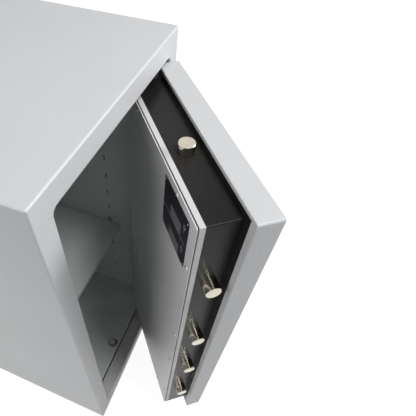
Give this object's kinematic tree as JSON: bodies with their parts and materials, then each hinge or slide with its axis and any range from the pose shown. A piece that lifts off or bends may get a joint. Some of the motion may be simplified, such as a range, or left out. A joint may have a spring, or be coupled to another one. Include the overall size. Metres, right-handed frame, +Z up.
{
  "type": "security cabinet",
  "caption": "Floor-standing steel security cabinet with a hinged bolt-work door standing ajar, an inner shelf, a key lock and a turning handle.",
  "frame": {"origin": "centre of the cabinet's underside, on the floor", "axes": "+Z up, the door side faces -Y, the hinge is at +X"},
  "size_m": [0.4, 0.6164, 0.8],
  "materials": {
    "casing_paint": "silver-grey paint, semi-gloss",
    "door_paint": "silver-grey paint, semi-gloss",
    "interior_paint": "grey paint, satin",
    "cover_paint": "light grey paint, satin",
    "black_powder_coat": "black fine-texture powder coat",
    "black_plate": "black printed sheet, satin",
    "barrier_board": "cast mineral board, dark grey, matt",
    "plain_steel": "plain rolled steel",
    "zinc_steel": "zinc-plated steel",
    "nickel": "bright nickel plate",
    "satin_chrome": "satin chrome",
    "gasket_rubber": "matt black",
    "dark_plastic": "matt dark grey"
  },
  "bodies": {
    "cabinet": {"outer_shell": "casing_paint", "rear_panel": "casing_paint", "liner_left": "interior_paint", "liner_right": "interior_paint", "liner_top": "interior_paint", "liner_floor": "interior_paint", "liner_rear": "interior_paint", "barrier_fill": "barrier_board", "side_keeper": "plain_steel", "top_keeper": "plain_steel", "bottom_keeper": "plain_steel", "shelf": "interior_paint", "shelf_clips": "zinc_steel", "anchor_plugs": "dark_plastic", "hinge_lugs": "plain_steel", "hinge_pins": "zinc_steel"},
    "door": {"hinge_arms": "plain_steel", "arm_screws": "zinc_steel", "door_skin": "door_paint", "door_plate": "black_powder_coat", "door_fill": "barrier_board", "hard_plate": "plain_steel", "bolt_box": "black_powder_coat", "cover_frame": "cover_paint", "cover_gasket": "gasket_rubber", "back_cover": "cover_paint", "cover_screws": "zinc_steel", "instruction_plate": "black_plate", "side_bolt_guide": "plain_steel", "rod_guides": "plain_steel", "lock_case": "plain_steel", "key_escutcheon": "satin_chrome", "handle_boss": "satin_chrome"},
    "side_bolts": {"side_bolts": "nickel", "side_carriage": "plain_steel"},
    "top_bolt": {"top_bolt": "nickel", "top_rod": "plain_steel"},
    "bottom_bolt": {"bottom_bolt": "nickel", "bottom_rod": "plain_steel"},
    "handle": {"handle_spindle": "zinc_steel", "handle_lever": "satin_chrome", "drive_pinion": "plain_steel"},
    "key": {"key_plug": "satin_chrome"},
    "lock_bolt": {"lock_bolt": "plain_steel"}
  },
  "joints": [
    {"name": "door_swing", "type": "hinge", "parent": "cabinet", "child": "door", "pos_m": [0.1875, -0.192, 0.4], "axis": [0, 0, 1], "range_deg": [-38.56, 56.4]},
    {"name": "side_bolt_slide", "type": "slide", "parent": "door", "child": "side_bolts", "axis": [-0.782, -0.6233, 0], "range_m": [0, 0.022]},
    {"name": "top_bolt_slide", "type": "slide", "parent": "door", "child": "top_bolt", "axis": [0, 0, 1], "range_m": [0, 0.022]},
    {"name": "bottom_bolt_slide", "type": "slide", "parent": "door", "child": "bottom_bolt", "axis": [0, 0, -1], "range_m": [0, 0.022]},
    {"name": "handle_turn", "type": "hinge", "parent": "door", "child": "handle", "pos_m": [0.01146, -0.34256, 0.4], "axis": [0.6233, -0.782, 0], "range_deg": [0, 90.1]},
    {"name": "key_turn", "type": "hinge", "parent": "door", "child": "key", "pos_m": [0.0185, -0.33695, 0.505], "axis": [0.6233, -0.782, 0], "range_deg": [0, 90]},
    {"name": "lock_bolt_slide", "type": "slide", "parent": "door", "child": "lock_bolt", "axis": [0, 0, -1], "range_m": [0, 0.01001]}
  ],
  "couplings": [
    {"joint": "top_bolt_slide", "follows": "side_bolt_slide", "ratio": 1},
    {"joint": "bottom_bolt_slide", "follows": "side_bolt_slide", "ratio": 1},
    {"joint": "handle_turn", "follows": "side_bolt_slide", "rad_per_m": 71.429},
    {"joint": "lock_bolt_slide", "follows": "key_turn", "m_per_rad": 0.0063662}
  ]
}
